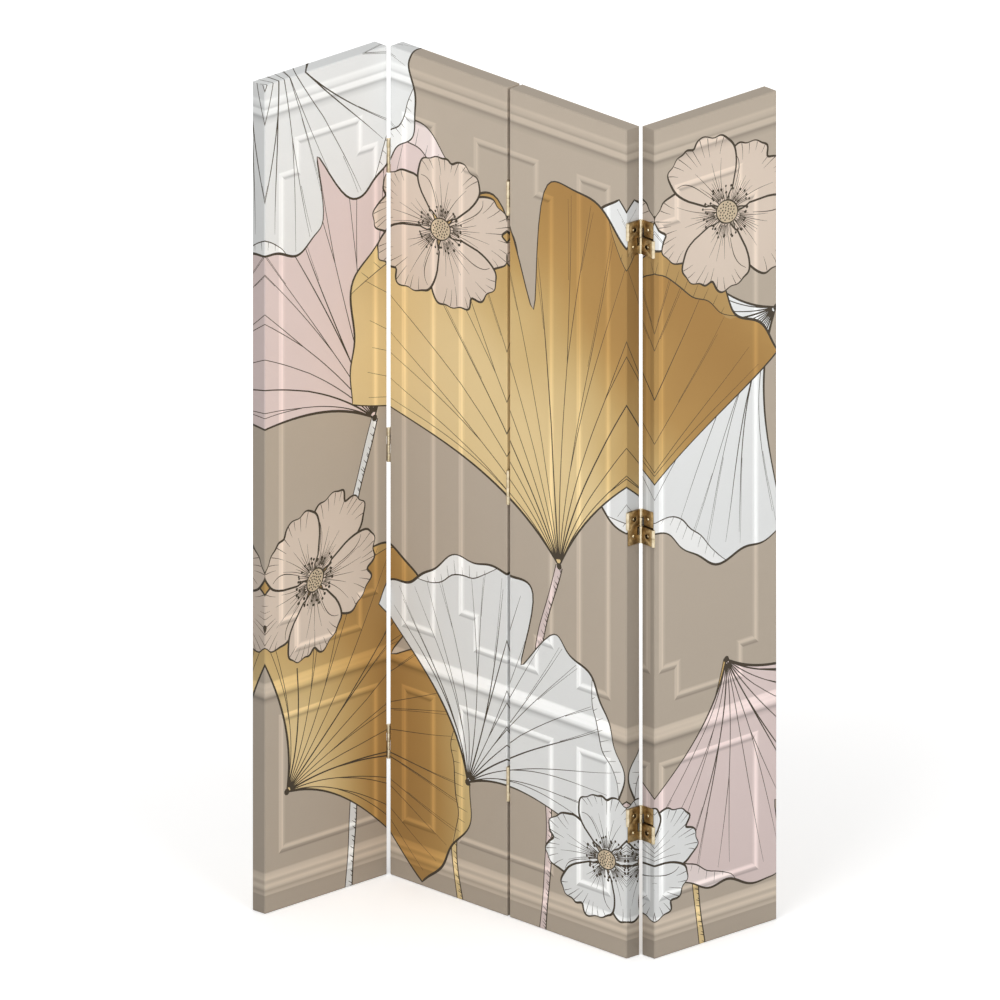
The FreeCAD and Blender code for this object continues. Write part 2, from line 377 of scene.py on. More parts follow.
fanLook = {
    "waves": ((0.030, 7.3), (0.020, 15.1), (0.010, 31.7)),      # of the margin: height and pace
    "droop": 0.16, "cleft": 0.30, "cleftTurn": 3.2, "bend": 0.42,
    "fork": (0.22, 0.55), "veinEnd": (0.90, 0.985), "strongVein": 3.4, "vein": 2.1, "single": 0.16,
    "lips": (-0.55, 0.5), "lipWidth": (0.20, 0.26), "fold": 0.085, "lipSteps": 22,
    "contour": (4.3, 0.35, 5), "hub": 7.5,
}


def drawFan(ink, base, facing, reach, spread, seed, veins):
    # a fan-shaped tree leaf: veins leave the stalk and fork on their way to a wavy margin
    look = fanLook
    draw = random.Random(seed)
    phases = [draw.uniform(0, 2 * math.pi) for _ in range(4)]       # one to spare

    def margin(turn):
        s = turn / spread
        wave = sum(high * math.sin(pace * s + phase) for (high, pace), phase in zip(look["waves"], phases))
        cleft = look["cleft"] * math.exp(-(turn / look["cleftTurn"]) ** 2)
        return reach * (1 + wave - look["droop"] * abs(s) ** 2.4 - cleft)

    def at(turn, share):
        # turn in degrees from the leaf's axis, share of the way to the margin
        bend = turn * (1 - look["bend"] * (1 - share) ** 1.6)
        return base + margin(turn) * share * turned(facing + bend)

    outline = lobe(at, spread, base, rimSteps=150, sideSteps=26)
    fill(ink, outline, base, reach)

    for i in range(veins):
        turn = -spread + 2 * spread * (i + 0.5) / veins + draw.uniform(-0.6, 0.6)
        fork = draw.uniform(*look["fork"])
        stop = draw.uniform(*look["veinEnd"])
        gap = spread / veins * draw.uniform(0.35, 0.55)
        heavy = look["strongVein"] if i % 4 == 2 else look["vein"]
        stroke([at(turn, 0.02 + (fork - 0.02) * k / 4) for k in range(5)], heavy + 0.7, heavy, heavy - 0.3)
        for way in (-1, 1):
            if draw.random() < look["single"]:
                continue
            limb = [at(turn + way * gap * (k / 5) ** 0.8, fork + (stop - fork) * k / 5) for k in range(6)]
            stroke(limb, heavy - 0.3, heavy * 0.72, 0.7)
            if draw.random() < 0.5:
                second = fork + (stop - fork) * draw.uniform(0.45, 0.65)
                own = turn + way * gap * 0.75
                twig = [at(own + way * gap * 0.55 * k / 3, second + (0.97 - second) * k / 3) for k in range(4)]
                stroke(twig, 1.0, 0.9, 0.6)

    # a folded lip on the margin, one each side of the cleft
    for middle in look["lips"]:
        wide = spread * draw.uniform(*look["lipWidth"])
        count = look["lipSteps"]
        turns = [middle * spread - wide + 2 * wide * i / count for i in range(count + 1)]
        outer = [at(turn, 1.0) for turn in turns]
        inner = [at(turn, 1 - look["fold"] * math.sin(math.pi * i / count) ** 0.7) for i, turn in enumerate(turns)]
        fill(ink + "Lip", outer + inner[::-1][1:-1], base, reach)
        stroke(inner[::3] + [inner[-1]], 1.4, 3.0, 1.4)
        for i in range(3, count - 2, 2):
            stroke([inner[i], inner[i] + (outer[i] - inner[i]) * draw.uniform(0.35, 0.75)], 1.3, 1.0, 0.5)
    contour(outline, *look["contour"])
    dot(base, look["hub"])


stemLook = {"step": 14.0, "swell": 0.10, "swellPace": 0.55, "reach": 400.0, "hatchPitch": 9.0}


def drawStem(ink, points, width, seed):
    # two contours with hatching along the shaded side
    draw = random.Random(seed)
    line = smoothLine(points, stemLook["step"])
    bright, shaded = [], []
    for i, p in enumerate(line):
        own = width * (1 + stemLook["swell"] * math.sin(i * stemLook["swellPace"]))
        side = direction(line, i) * 1j * own / 2
        bright.append(p + side)
        shaded.append(p - side)
    fill(ink, bright + shaded[::-1], line[0], stemLook["reach"])
    stroke(bright[::2] + bright[-1:], 2.2, 2.6, 2.2)
    stroke(shaded[::2] + shaded[-1:], 3.4, 2.8, 3.2)
    travelled, hatchPitch = 0.0, stemLook["hatchPitch"]
    for i in range(len(line) - 1):
        along = direction(line, i)
        travelled += abs(bright[i + 1] - bright[i])
        while travelled > hatchPitch:
            travelled -= hatchPitch * draw.uniform(0.7, 1.6)
            start = shaded[i] + along * draw.uniform(0, 9)
            end = start + along * 1j * width * draw.uniform(0.25, 0.75) + along * width * 0.35
            stroke([start, end], 1.9, 1.5, 0.7)


blossomLook = {
    "tilt": 0.78, "petals": 5, "layers": (0, 2, 4, 1, 3), "overlap": 0.60,
    "shadeLines": 11, "rimLines": 9, "contour": (3.9, 0.35, 3),
    "heart": 0.145, "stamens": 44, "seeds": 34, "seedTurn": 137.508,
}


def drawBlossom(ink, centre, radius, turn, seed, tiltTurn):
    # an open five-petalled flower seen a little from the side
    look = blossomLook
    draw = random.Random(seed)

    def leaned(p):
        q = p * turned(-tiltTurn)
        return centre + complex(q.real, q.imag * look["tilt"]) * turned(tiltTurn)

    for petal in look["layers"]:
        axis = turn + 360.0 * petal / look["petals"] + draw.uniform(-5, 5)
        length = radius * draw.uniform(0.92, 1.06)
        half = 360.0 / look["petals"] * look["overlap"]

        def at(t, share, axis=axis, length=length, petal=petal):
            # t from -1 to 1 across the petal, share of the way to its rim
            body = (1 - abs(t) ** 3.2) ** 0.42
            ripple = 0.022 * math.sin(9 * t + petal * 2.1) + 0.014 * math.sin(21 * t + petal)
            rim = length * (0.30 + 0.70 * body - 0.10 * math.exp(-(t / 0.09) ** 2) + ripple * body)
            return leaned(rim * share * turned(axis + half * t * (0.35 + 0.65 * share)))

        outline = lobe(at, 1, centre, rimSteps=70, sideSteps=8)
        fill(ink, outline, centre, radius)
        # shade lines from the heart, and short ones from the rim
        for i in range(look["shadeLines"]):
            t = -0.80 + 1.60 * i / (look["shadeLines"] - 1)
            stop = draw.uniform(0.45, 0.80) if i % 2 else draw.uniform(0.30, 0.48)
            stroke([at(t, 0.18 + (stop - 0.18) * j / 3) for j in range(4)], 1.7, 1.2, 0.5)
        for i in range(look["rimLines"]):
            t = -0.62 + 1.24 * i / (look["rimLines"] - 1) + draw.uniform(-0.03, 0.03)
            near = draw.uniform(0.72, 0.88)
            stroke([at(t, 0.985), at(t * 0.97, (near + 0.985) / 2), at(t * 0.95, near)], 1.7, 1.1, 0.5)
        stroke([at(0.80 - 0.10 * math.sin(math.pi * j / 6), 0.40 + 0.53 * j / 6) for j in range(7)], 1.0, 2.2, 1.0)
        contour(outline, *look["contour"])

    # stamens round a domed heart
    heart = radius * look["heart"]
    for i in range(look["stamens"]):
        a = 360.0 * i / look["stamens"] + draw.uniform(-3, 3)
        root = leaned(heart * 0.8 * turned(a))
        tip = leaned(heart * draw.uniform(1.65, 2.35) * turned(a + draw.uniform(-5, 5)))
        stroke([root, (root + tip) / 2 + 1.5j, tip], 1.5, 1.2, 1.0)
        dot(tip, draw.uniform(2.6, 3.6), 8)
    ring = [leaned(heart * turned(12.0 * i)) for i in range(30)]
    fill("heart", ring, centre, heart)
    contour(ring, 3.0, 0.2, 2)
    for i in range(look["seeds"]):
        dot(leaned(heart * 0.82 * math.sqrt((i + 0.5) / look["seeds"]) * turned(look["seedTurn"] * i)), 2.0, 7)


panelling = {
    # a moulding's tones, from its outer edge in, where the light comes from the upper left
    "offsets": (0, 3, 8, 11, 15, 21),
    "top": (0, 0.24, 0.17, 0.02, -0.34, 0),
    "bottom": (0, -0.32, -0.06, 0.20, 0.24, 0),
    "left": (0, 0.18, 0.17, 0.30, 0.09, 0),
    "right": (0, 0.10, 0.24, 0.26, 0.08, 0),
    # level mouldings: (height, tone) from the top down
    "cornice": ((1770, 0), (1764, 0.18), (1754, 0.05), (1748, -0.14), (1744, 0.20), (1735, 0.16), (1729, -0.34),
                (1722, -0.12), (1712, 0)),
    "rail": ((502, 0), (498, 0.20), (491, 0.25), (486, 0.21), (480, 0.25), (472, 0.10), (465, -0.36), (459, -0.12),
             (452, 0)),
    "base": ((90, 0), (86, 0.16), (74, 0.26), (69, 0.09), (66, 0.09), (60, 0.26), (55, 0.20), (49, -0.04), (43, 0.10),
             (40, 0.11), (38, -0.10), (30, -0.06), (0, -0.04)),
    "footGain": 1.1,       # printed highlights are stronger by this share at the floor, against the painted shade there
    "wide": 284.0, "narrow": 104.0, "space": 64.0, "firstEdge": -664.0, "bays": 4,
    "tallFrame": (546.0, 1668.0), "lowFrame": (120.0, 424.0), "corner": (44.0, 68.0),
}


def plainFrame(u0, u1, v0, v1):
    return [complex(u0, v0), complex(u1, v0), complex(u1, v1), complex(u0, v1)]


def steppedFrame(u0, u1, v0, v1):
    # a tall frame whose four corners step in
    a, b = panelling["corner"]
    left, right, low, high = u0 + a, u1 - a, v0 + b, v1 - b
    places = ((left, v0), (right, v0), (right, low), (u1, low), (u1, high), (right, high), (right, v1), (left, v1),
              (left, high), (u0, high), (u0, low), (left, low))
    return [complex(u, v) for u, v in places]


def drawFrame(corners):
    # mitred strips along a right-angled outline, each with a tone on either side
    offsets = panelling["offsets"]
    ways = [unit(corners[(i + 1) % len(corners)] - p) for i, p in enumerate(corners)]
    rings = [[p + d * 1j * (ways[i - 1] + ways[i]) for i, p in enumerate(corners)] for d in offsets]
    for i, way in enumerate(ways):
        k = (i + 1) % len(corners)
        side = "bottom" if way.real > 0.5 else "top" if way.real < -0.5 else "right" if way.imag > 0 else "left"
        tones = panelling[side]
        for n in range(len(offsets) - 1):
            strip = [rings[n][i], rings[n][k], rings[n + 1][k], rings[n + 1][i]]
            reliefs.append((strip, corners[i] + way * 1j * offsets[n], way * 1j, offsets[n + 1] - offsets[n],
                            tones[n], tones[n + 1]))


def drawPanelling():
    end = 2 * pitch + 10
    for name in ("cornice", "rail", "base"):
        for (high, toneHigh), (low, toneLow) in zip(panelling[name], panelling[name][1:]):
            strip = plainFrame(-end, end, low, high)
            reliefs.append((strip, complex(0, high), -1j, high - low, toneHigh, toneLow))
    u = panelling["firstEdge"]
    for _ in range(panelling["bays"]):
        for width, outline in ((panelling["wide"], steppedFrame), (panelling["narrow"], plainFrame)):
            drawFrame(outline(u, u + width, *panelling["tallFrame"]))
            drawFrame(plainFrame(u, u + width, *panelling["lowFrame"]))
            u += width + panelling["space"]


def drawPrint():
    # stems (line, width, seed) first, then the leaves (base, facing, reach, spread, seed, veins) and the
    # flowers (centre, radius, turn, seed, way of the tilt) that lie over them
    drawStem("blush", [96 - 60j, 120 + 240j, 84 + 560j, 150 + 800j], 17, 3)
    drawStem("white", [-470 - 60j, -452 + 260j, -500 + 560j, -470 + 760j, -392 + 1000j], 18, 5)
    drawStem("gold", [500 - 60j, 470 + 190j, 506 + 420j, 560 + 600j], 15, 6)
    drawStem("gold", [-130 - 60j, -160 + 120j, -120 + 260j], 15, 8)
    drawFan("blush", -392 + 1000j, 112, 690, 66, 11, 12)
    drawFan("white", 700 + 1330j, 206, 560, 66, 13, 12)
    drawFan("gold", 150 + 800j, 98, 800, 60, 12, 14)
    drawFan("white", -668 + 1890j, 292, 466, 60, 19, 9)
    drawFan("gold", -640 + 250j, 38, 540, 70, 14, 12)
    drawFan("white", -120 + 260j, 62, 490, 66, 15, 11)
    drawFan("blush", 560 + 600j, 292, 500, 64, 16, 11)
    drawBlossom("petal", -200 + 1440j, 205, 12, 21, 20)
    drawBlossom("petal", 562 + 1572j, 215, 40, 22, -25)
    drawBlossom("petal", -560 + 690j, 185, 60, 23, 50)
    drawBlossom("white", 290 + 200j, 185, 25, 24, 10)


drawPanelling()
drawPrint()
print("print drawn:", len(shapes), "shapes,", len(reliefs), "moulding strips")


# the canvases

canvasCut = {
    "thickness": 0.8,
    "margin": 25.0,        # turned over the back of the frame
    "printed": 12.0,       # how far the print runs onto the back
    "roundness": 2.0, "backRoundness": 0.7,     # of the folds
    "foldRows": (0.0, 0.30, 0.65, 1.0, 1.8),    # where the sheet is split round a fold, in its roundness
    # painted shade on the turned edges, darker than the front; the two that face each other in the flat joint get
    # none, as they lie in real shade there
    "paintedSideShades": {"left": 0.67, "right": 0.69, "top": 0.76, "bottom": 0.62}, "jointPaintedShade": 1.0,
    "mergeWithin": 0.02, "near": 0.01, "splitWithin": 0.001, "leastArea": 0.01,
}


def anticlockwise(outline):
    # None where an outline has next to no area
    twice = sum(a.real * b.imag - b.real * a.imag for a, b in zip(outline, outline[1:] + outline[:1]))
    return None if abs(twice) < 2 * canvasCut["leastArea"] else outline if twice > 0 else outline[::-1]


def clamped(value, low=0.0, high=1.0):
    return min(max(value, low), high)


def extent(points):
    return (min(p.real for p in points), max(p.real for p in points),
            min(p.imag for p in points), max(p.imag for p in points))


def inkZone(outline, rows):
    # splits one zone of the sheet along every ink edge, and says what each triangle shows
    left, right, low, high = extent(outline)
    places, loops, owners = [], [], []
    layers = [("zone", None, outline)] + [("ink", shape, shape[1]) for shape in shapes]
    for kind, owner, loop in layers + [("relief", strip, strip[0]) for strip in reliefs]:
        loop = anticlockwise(loop)
        if loop is None:
            continue
        least, most, bottom, top = extent(loop)
        if most < left or least > right or top < low or bottom > high:
            continue
        loops.append(list(range(len(places), len(places) + len(loop))))
        places.extend(Vector((p.real, p.imag)) for p in loop)
        owners.append((kind, owner))
    lines = []
    for row in rows:
        lines.append((len(places), len(places) + 1))
        places.extend(Vector((p.real, p.imag)) for p in row)
    split = geometry.delaunay_2d_cdt(places, lines, loops, 1, canvasCut["splitWithin"])
    points, _, triangles, _, _, sources = split
    shown = []
    for triangle, source in zip(triangles, sources):
        uppermost = dict(owners[k] for k in sorted(source))
        if "zone" in uppermost:
            shown.append((triangle, uppermost.get("ink"), uppermost.get("relief")))
    return [complex(*p) for p in points], shown


def canvasZones(panel):
    # the sheet's front and its four turned-over sides, each with the rows to split it along
    w, h, d, m = panelWidth, panelHeight, panelDepth, canvasCut["margin"]
    left = leftEdge(panel)
    past = 100        # mm, beyond every turned side
    depths = [r * canvasCut["roundness"] for r in canvasCut["foldRows"]]
    back = [d - r for r in depths] + [d + r for r in depths[1:]] + [d + canvasCut["printed"]]

    def level(v, low=left - 1, high=left + w + 1):
        return complex(low, v), complex(high, v)

    def upright(u, low=-1, high=h + 1):
        return complex(u, low), complex(u, high)

    rows = [level(h / 2)]
    for r in depths[1:]:
        rows += [upright(left + r), upright(left + w - r), level(r), level(h - r)]
    yield "front", plainFrame(left, left + w, 0, h), rows
    for side, start, inward in (("left", left, 1), ("right", left + w, -1)):
        corners = ((0, 0), (d, 0), (d + m, m), (d + m, h - m), (d, h), (0, h))
        rows = [upright(start + inward * e) for e in depths[1:] + back]
        rows += [level(v, start - past, start + past) for r in depths[1:] for v in (r, h - r)]
        rows.append(level(h / 2, start - past, start + past))
        yield side, [complex(start + inward * e, v) for e, v in corners], rows
    for side, start, inward in (("bottom", 0.0, 1), ("top", h, -1)):
        corners = ((0, 0), (w, 0), (w, d), (w - m, d + m), (m, d + m), (0, d))
        rows = [level(start + inward * e) for e in depths[1:] + back]
        rows += [upright(u, start - past, start + past) for r in depths[1:] for u in (left + r, left + w - r)]
        yield side, [complex(left + u, start + inward * e) for u, e in corners], rows


def insideEdges(panel, p):
    # how far a place of the print lies inside each edge of the panel's front
    across = p.real - leftEdge(panel)
    return {"left": across, "right": panelWidth - across, "bottom": p.imag, "top": panelHeight - p.imag}


def folded(panel, side, p):
    # where a place of the print lies once the sheet is folded over the frame, and on the sheet laid flat
    w, h, d = panelWidth, panelHeight, panelDepth
    across, up = p.real - leftEdge(panel), p.imag
    if side == "front":
        return Vector((across, 0, up)), Vector((across, up))
    over = insideEdges(panel, p)[side]
    depth, past = min(over, d), max(over - d, 0.0)
    place, flat = {"left": ((past, depth, up), (-over, up)), "right": ((w - past, depth, up), (w + over, up)),
                   "bottom": ((across, depth, past), (across, -over)),
                   "top": ((across, depth, h - past), (across, h + over))}[side]
    return Vector(place), Vector(flat)


def rolledFrom(place):
    # the middle of the small radius that a place of the sheet is rolled about, and that radius
    front, back = canvasCut["roundness"], canvasCut["backRoundness"]
    r = front + (back - front) * clamped(place.y / panelDepth)
    sizes = (panelWidth, panelDepth, panelHeight)
    return Vector(clamped(value, r, size - r) for value, size in zip(place, sizes)), r


def rounded(place):
    core, r = rolledFrom(place)
    return core + (place - core).normalized() * r


def paintedEdgeShade(panel, side, p):
    # painted shade round the folds and on the turned edges: it changes over a few mm, not at a line, and is gone past
    # the back fold
    blend = canvasCut["roundness"] * canvasCut["foldRows"][-1]
    tone = 1.0
    for name, inside in insideEdges(panel, p).items():
        if side in (name, "front"):
            inJoint = (panel, name) in (("2", "right"), ("3", "left"))
            shade = canvasCut["jointPaintedShade"] if inJoint else canvasCut["paintedSideShades"][name]
            over = inside if side == name else -inside
            there, back = clamped(0.5 + over / (2 * blend)), clamped((over - panelDepth) / blend)
            tone *= 1 + (shade - 1) * there * (1 - back)
    return tone


def mouldingTone(strip, p):
    # how much lighter or darker a moulding is at a place
    _, start, normal, width, toneA, toneB = strip
    share = ((p - start) * normal.conjugate()).real / width
    tone = toneA + (toneB - toneA) * clamped(share)
    if tone > 0:
        tone *= 1 + panelling["footGain"] * max(1 - p.imag * mm / canvasLook["shadeHeight"], 0.0)
    return tone


def printedMesh(panel, base):
    # the sheet's outer face with its print, folded but in five loose zones
    inks = {name: fromHex(code) for name, code in inkColours.items()}
    verts, faces, flats, inkData, leafData, shadeAndGoldData = [], [], [], [], [], []
    for side, outline, rows in canvasZones(panel):
        points, shown = inkZone(outline, rows)
        first = len(verts)
        # the painted shade of the turned edges and folds, at each point of the zone
        tones = [paintedEdgeShade(panel, side, p) for p in points]
        spots = [folded(panel, side, p) for p in points]
        verts.extend(rounded(place) for place, flat in spots)
        for triangle, shape, strip in shown:
            triangle = list(triangle) if side == "front" else list(triangle)[::-1]
            middle = sum((points[k] for k in triangle), 0j) / len(triangle)
            name = shape[0] if shape else "ground"
            if side != "front" and insideEdges(panel, middle)[side] > panelDepth + canvasCut["printed"]:
                name, shape, strip = "raw", None, None
            faces.append([first + k for k in triangle])
            for k in triangle:
                tone = mouldingTone(strip, points[k]) if strip and name != "line" else 0.0
                leaf = (points[k] - shape[2]) / shape[3] if shape else 0j
                # the unprinted margin at the back gets no painted shade
                shade = 1.0 if name == "raw" else tones[k]
                flats.append(spots[k][1])
                inkData.extend(inks[name])
                leafData.extend((leaf.real, leaf.imag, 0.0))
                # the printed moulding's tone times the painted edge shade, and whether the ink is gold
                shadeAndGoldData.extend(((1 + tone) * shade, float(name.startswith("gold")), 0.0))

    mesh = bpy.data.meshes.new("printedCanvas" + panel)
    mesh.from_pydata([atRest(panel, base + place) for place in verts], [], faces)
    mesh.attributes.new("ink", "FLOAT_COLOR", "CORNER").data.foreach_set("color", inkData)
    mesh.attributes.new("leaf", "FLOAT_VECTOR", "CORNER").data.foreach_set("vector", leafData)
    mesh.attributes.new("shadeAndGold", "FLOAT_VECTOR", "CORNER").data.foreach_set("vector", shadeAndGoldData)
    mesh.uv_layers.new(name="sheet").data.foreach_set("uv", [c * mm for flat in flats for c in flat])
    return mesh


def closeSheet(mesh, panel, base):
    # joins the zones, then adds the reverse of the sheet and its cut edge
    w, h, d = panelWidth, panelHeight, panelDepth
    m, t, tiny = canvasCut["margin"], canvasCut["thickness"], canvasCut["near"]
    away = restMatrix[panel].inverted()
    form = bmesh.new()
    form.from_mesh(mesh)
    bmesh.ops.remove_doubles(form, verts=form.verts, dist=canvasCut["mergeWithin"] * mm)
    cutEdge = [[], [], [], []]
    for vert in form.verts:
        p = (away @ vert.co) / mm - base
        if p.y > d - tiny and m - tiny < p.x < w - m + tiny and m - tiny < p.z < h - m + tiny:
            beside = (p.z < m + tiny, p.x > w - m - tiny, p.z > h - m - tiny, p.x < m + tiny)
            for i, near in enumerate(beside):
                if near:
                    cutEdge[i].append(((p.x, p.z, -p.x, -p.z)[i], vert))

    def ring(y, e):
        corners = ((e, y, e), (w - e, y, e), (w - e, y, h - e), (e, y, h - e))
        return [form.verts.new(atRest(panel, base + Vector(corner))) for corner in corners]

    frontRing, backRing, windowRing = ring(t, t), ring(d - t, t), ring(d - t, m)
    made = [form.faces.new(frontRing)]
    for i in range(4):
        k = (i + 1) % 4
        made.append(form.faces.new([frontRing[i], backRing[i], backRing[k], frontRing[k]]))
        made.append(form.faces.new([backRing[i], windowRing[i], windowRing[k], backRing[k]]))
        lip = [vert for _, vert in sorted(cutEdge[i], key=lambda pair: pair[0])]
        made.append(form.faces.new([windowRing[i]] + lip + [windowRing[k]]))
    bmesh.ops.triangulate(form, faces=made)
    bmesh.ops.recalc_face_normals(form, faces=form.faces)
    inner = {vert for rings in (frontRing, backRing, windowRing) for vert in rings}
    for face in form.faces:
        face.material_index = int(any(vert in inner for vert in face.verts))
    form.to_mesh(mesh)
    form.free()

    # normals from the folds' own roundness, so that slivers between inks don't show
    mesh.shade_smooth()
    turn = restMatrix[panel].to_3x3()
    normals = []
    for polygon in mesh.polygons:
        for index in polygon.vertices:
            place = (away @ mesh.vertices[index].co) / mm - base
            outward = turn @ (place - rolledFrom(place)[0]).normalized()
            normals.append(polygon.normal if polygon.material_index else outward)
    mesh.normals_split_custom_set(normals)


def makeCanvas(panel):
    w, h, d, m = panelWidth, panelHeight, panelDepth, canvasCut["margin"]
    base = Vector((leftEdge(panel), -d / 2, 0))
    mesh = printedMesh(panel, base)
    piece = newPiece("printedCanvas" + panel, mesh)
    paint(piece, canvasMaterial, reverseMaterial)
    closeSheet(mesh, panel, base)
    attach(piece, "panel_" + panel)
    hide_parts("panel_" + panel + "_canvas")
    print("canvas", panel, len(mesh.polygons), "faces")


for panel in panelNames:
    makeCanvas(panel)


# the bars keep their CAD shapes, with the grain along them

for name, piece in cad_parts.items():
    if "stile" in name:
        paint(piece, pineMaterials["Z"])
    elif "rail" in name:
        paint(piece, pineMaterials["X" if name[6] in "23" else "Y"])
print("frames finished")


# hinges: a leaf on each panel, an upper and a lower link, pins and screws

hingeCut = {
    "half": 37.0, "shares": (0.160, 0.518, 0.867),      # half a hinge's height, and where the hinges sit
    "barrel": 3.6, "pin": 1.8, "leafFaces": (2.0, 4.0), "leafHalf": 14.9,
    "linkThick": 2.0, "linkHalf": 14.4, "seam": 0.3,
    "linkEnd": 18.45, "leafStart": 18.85,       # where the knuckles meet on a pin
    "strapBend": ((0, 1.7), (0.06, 0.9), (0.2, 0.35)),      # where a leaf turns into its knuckle
    "leafLap": 0.3, "linkLap": 0.4,             # that the knuckles' straps reach into the plates
    "screwHeight": 18.5, "screwRadius": 3.0, "accessRadius": 5.0,
    "sink": (3.9, 2.1, 1.9, 0.8),               # radius above and below, height, depth of its middle
    "screwDome": 0.42, "screwProud": 0.45, "cross": (0.32, 1.6, 0.1),
    # the grooves in a leaf are lined with dark brass as painted shadow
    "relief": (4.2, 1.4), "partLine": (2.4, 1.0),       # width and depth of the dark grooves in a leaf
    "bevel": 0.28, "pinBevel": 0.5, "sides": 36, "smoothAngle": 30,
}


def applied(piece, kind, **settings):
    pickOnly(piece)
    modifier = piece.modifiers.new(kind, kind)
    for key, value in settings.items():
        setattr(modifier, key, value)
    bpy.ops.object.modifier_apply(modifier=modifier.name)


def joined(pieces, name):
    pickOnly(*pieces)
    bpy.ops.object.join()
    pieces[0].name = pieces[0].data.name = name
    return pieces[0]


def settled(*materials):
    # applies the new primitive's place and size
    bpy.ops.object.transform_apply(location=True, rotation=True, scale=True)
    paint(bpy.context.object, *materials)
    return bpy.context.object


def block(low, high, *materials):
    low, high = Vector(low) * mm, Vector(high) * mm
    bpy.ops.mesh.primitive_cube_add(size=1, location=(low + high) / 2, scale=high - low)
    return settled(*materials)


def rod(radius, centre, length, turn, *materials, top=None, sides=None):
    # a cylinder, or with top another radius at its upper end, turned about Y
    radii = {"radius1": radius * mm, "radius2": (radius if top is None else top) * mm}
    bpy.ops.mesh.primitive_cone_add(vertices=sides or hingeCut["sides"], depth=length * mm,
                                    location=Vector(centre) * mm, rotation=(0, math.radians(turn), 0), **radii)
    return settled(*materials)


def cutOut(piece, tool):
    applied(piece, "BOOLEAN", object=tool, operation="DIFFERENCE", solver="EXACT")
    bpy.data.objects.remove(tool)


def smoothed(piece):
    pickOnly(piece)
    bpy.ops.object.shade_smooth_by_angle(angle=math.radians(hingeCut["smoothAngle"]))
    return piece


def softened(piece, width=hingeCut["bevel"], angle=50):
    applied(piece, "BEVEL", width=width * mm, segments=2, limit_method="ANGLE", angle_limit=math.radians(angle))
    return smoothed(piece)


def rolledKnuckle(outline, way, z0, z1, openEnd=None):
    # a knuckle with the strap it is rolled from: its outline about the pin, at the front or the back, pulled up;
    # the pin's end shows in a recess
    outline = [(x, y - pinOffset) for x, y in outline]
    if way == 1:
        outline = [(x, -y) for x, y in outline[::-1]]
    mesh = bpy.data.meshes.new("knuckle")
    count = len(outline)
    points = [(x * mm, y * mm, z * mm) for z in (z0, z1) for x, y in outline]
    sides = [(i, (i + 1) % count, count + (i + 1) % count, count + i) for i in range(count)]
    mesh.from_pydata(points, [], [tuple(range(count))[::-1], tuple(range(count, 2 * count))] + sides)
    piece = newPiece("knuckle", mesh)
    paint(piece, *brasses)
    # the knuckle faces take the paler brass, a painted highlight
    for polygon in mesh.polygons:
        polygon.material_index = 1
    if openEnd is not None:
        cutOut(piece, rod(hingeCut["pin"] + 0.1, (0, way * pinOffset, openEnd), 8.0, 0, sides=24))
    return softened(piece, angle=60)


def barrelArc(start, stop, count):
    angles = [math.radians(start + (stop - start) * i / count) for i in range(count + 1)]
    return [(hingeCut["barrel"] * math.cos(a), hingeCut["barrel"] * math.sin(a)) for a in angles]


def makeLeaf():
    # the left leaf: its upper knuckle at the front, its lower one at the back
    inner, outer = hingeCut["leafFaces"]
    half, reach = hingeCut["half"], hingeCut["leafHalf"]
    plate = block((-outer, -reach, -half), (-inner, reach, half), *brasses)
    wide, narrow, high, deep = hingeCut["sink"]
    # countersinks lined with dark brass, as painted shade
    for z in (hingeCut["screwHeight"], -hingeCut["screwHeight"]):
        cutOut(plate, rod(wide, (-inner - deep, 0, z), high, -90, recessShadeBrass, top=narrow))
    # relieved beside the links' knuckles, with a dark line where the two links part: grooves lined with dark brass as
    # painted shadow
    wide, deep = hingeCut["relief"]
    for way in (-1, 1):
        near, far = sorted((way * (reach - wide), way * (reach + 0.5)))
        low, high = sorted((0.0, -way * hingeCut["leafStart"]))
        cutOut(plate, block((-inner - deep, near, low), (-inner + 1, far, high), recessShadeBrass))
    high, deep = hingeCut["partLine"]
    seam = hingeCut["seam"]
    cutOut(plate, block((-inner - deep, -reach - 0.5, seam), (-inner + 1, reach + 0.5, seam + high), recessShadeBrass))
    parts = [softened(plate)]
    root, start = pinOffset - reach + hingeCut["leafLap"], math.degrees(math.asin(inner / hingeCut["barrel"]))
    strap = [(-outer, root)] + [(-outer + x, y) for x, y in hingeCut["strapBend"]]
    outline = strap + barrelArc(180, 360 + 90 + start, 40) + [(-inner, root)]
    for way in (-1, 1):
        low, high = sorted((-way * hingeCut["leafStart"], -way * half))
        parts.append(rolledKnuckle(outline, way, low, high, openEnd=-way * half))
    return joined(parts, "leaf")


def makeLink():
    # the upper link: a plate with a hole to reach the screw behind it, and a knuckle at either end
    t, reach, seam = hingeCut["linkThick"] / 2, hingeCut["linkHalf"], hingeCut["seam"]
    plate = block((-t, -reach, seam), (t, reach, hingeCut["half"]), *brasses)
    # the access hole's wall in dark brass, as painted shade
    cutOut(plate, rod(hingeCut["accessRadius"], (0, 0, hingeCut["screwHeight"]), 8.0, 90, recessShadeBrass))
    parts = [softened(plate)]
    root, lean = pinOffset - reach + hingeCut["linkLap"], math.degrees(math.asin(t / hingeCut["barrel"]))
    outline = [(-t, root)] + barrelArc(90 + lean, 450 - lean, 44) + [(t, root)]
    parts += [rolledKnuckle(outline, way, seam, hingeCut["linkEnd"]) for way in (-1, 1)]
    return joined(parts, "link")


